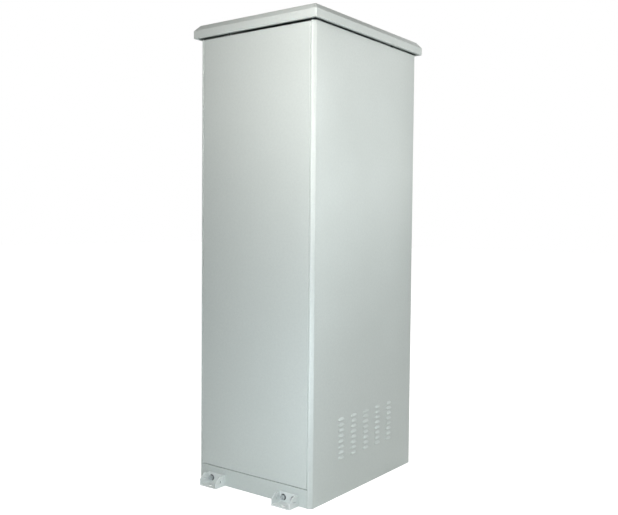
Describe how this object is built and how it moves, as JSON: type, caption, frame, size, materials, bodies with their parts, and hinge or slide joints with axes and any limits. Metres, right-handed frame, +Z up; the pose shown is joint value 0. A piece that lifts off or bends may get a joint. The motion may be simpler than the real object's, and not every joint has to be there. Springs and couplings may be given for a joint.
{
  "type": "roadside utility cabinet",
  "caption": "Free-standing outdoor cabinet of folded sheet: overhanging roof hood, side louvres, plinth with anchor brackets, hinged front door with rod lock.",
  "frame": {"origin": "on the ground at the centre of the body's footprint", "axes": "+Z up, +Y towards the door, +X towards the visible louvred side wall (the right one seen from the rear)"},
  "size_m": [0.64, 0.894, 1.9339],
  "materials": {
    "powder_coat": "light grey, fine-textured powder coat",
    "galvanised_steel": "galvanised sheet",
    "zinc_fasteners": "bright zinc plate",
    "gasket_rubber": "matt black foam rubber",
    "black_plastic": "black glass-filled polyamide",
    "copper_bar": "drawn copper",
    "red_insulator": "moulded red resin",
    "filter_fleece": "white filter fleece"
  },
  "bodies": {
    "cabinet": {"left_side_panel": "powder_coat", "right_side_panel": "powder_coat", "rear_plinth": "powder_coat", "front_plinth": "powder_coat", "base_plate": "galvanised_steel", "top_plate": "galvanised_steel", "rear_panel": "powder_coat", "rear_panel_gasket": "gasket_rubber", "rear_panel_screws": "zinc_fasteners", "rear_panel_nuts": "zinc_fasteners", "roof_hood": "powder_coat", "roof_posts": "galvanised_steel", "roof_bolts": "zinc_fasteners", "rear_left_bracket": "powder_coat", "rear_right_bracket": "powder_coat", "front_left_bracket": "powder_coat", "front_right_bracket": "powder_coat", "bracket_bolts": "zinc_fasteners", "bracket_washers": "zinc_fasteners", "bracket_nuts": "zinc_fasteners", "front_left_rack_rail": "galvanised_steel", "front_right_rack_rail": "galvanised_steel", "rear_left_rack_rail": "galvanised_steel", "rear_right_rack_rail": "galvanised_steel", "upper_left_depth_rail": "galvanised_steel", "upper_right_depth_rail": "galvanised_steel", "lower_left_depth_rail": "galvanised_steel", "lower_right_depth_rail": "galvanised_steel", "rail_bolts": "zinc_fasteners", "gland_plate": "galvanised_steel", "cable_glands": "black_plastic", "gland_locknuts": "black_plastic", "earth_bar": "copper_bar", "earth_bar_posts": "red_insulator", "earth_bar_screws": "zinc_fasteners", "left_filter_frame": "galvanised_steel", "right_filter_frame": "galvanised_steel", "left_filter_mat": "filter_fleece", "right_filter_mat": "filter_fleece", "fan_frame": "black_plastic", "fan_guard": "zinc_fasteners", "hinge_frame_leaves": "zinc_fasteners", "hinge_pins": "zinc_fasteners"},
    "door": {"front_door": "powder_coat", "door_gasket": "gasket_rubber", "door_stiffeners": "galvanised_steel", "hinge_door_leaves": "zinc_fasteners", "handle_plate": "black_plastic", "lock_housing": "zinc_fasteners", "rod_guides": "black_plastic"},
    "spindle": {"lock_spindle": "zinc_fasteners", "lock_cam": "zinc_fasteners", "handle_pin": "zinc_fasteners"},
    "handle": {"swing_handle": "black_plastic"},
    "key": {"key_plug": "zinc_fasteners"},
    "keyhole_flap": {"keyhole_cover": "black_plastic"},
    "upper_rod": {"upper_rod": "zinc_fasteners"},
    "lower_rod": {"lower_rod": "zinc_fasteners"},
    "fan": {"fan_rotor": "black_plastic"}
  },
  "joints": [
    {"name": "door_swing", "type": "hinge", "parent": "cabinet", "child": "door", "pos_m": [-0.278, 0.397, 0.973], "axis": [0, 0, 1], "range_deg": [0, 110]},
    {"name": "handle_turn", "type": "hinge", "parent": "door", "child": "spindle", "pos_m": [0.215, 0.394, 1], "axis": [0, 1, 0], "range_deg": [0, 90]},
    {"name": "handle_lift", "type": "hinge", "parent": "spindle", "child": "handle", "pos_m": [0.215, 0.403, 1], "axis": [1, 0, 0], "range_deg": [0, 40]},
    {"name": "key_turn", "type": "hinge", "parent": "handle", "child": "key", "pos_m": [0.215, 0.403, 0.864], "axis": [0, 1, 0], "range_deg": [0, 90]},
    {"name": "flap_swing", "type": "hinge", "parent": "handle", "child": "keyhole_flap", "pos_m": [0.215, 0.409, 0.876], "axis": [0, 1, 0], "range_deg": [0, 110]},
    {"name": "upper_rod_slide", "type": "slide", "parent": "door", "child": "upper_rod", "axis": [0, 0, 1], "range_m": [0, 0.0255]},
    {"name": "lower_rod_slide", "type": "slide", "parent": "door", "child": "lower_rod", "axis": [0, 0, -1], "range_m": [0, 0.0255]},
    {"name": "fan_spin", "type": "hinge", "parent": "cabinet", "child": "fan", "pos_m": [0, 0, 1.85], "axis": [0, 0, 1], "continuous": true}
  ],
  "couplings": [
    {"joint": "upper_rod_slide", "follows": "handle_turn", "m_per_rad": 0.016206},
    {"joint": "lower_rod_slide", "follows": "handle_turn", "m_per_rad": 0.016206}
  ]
}
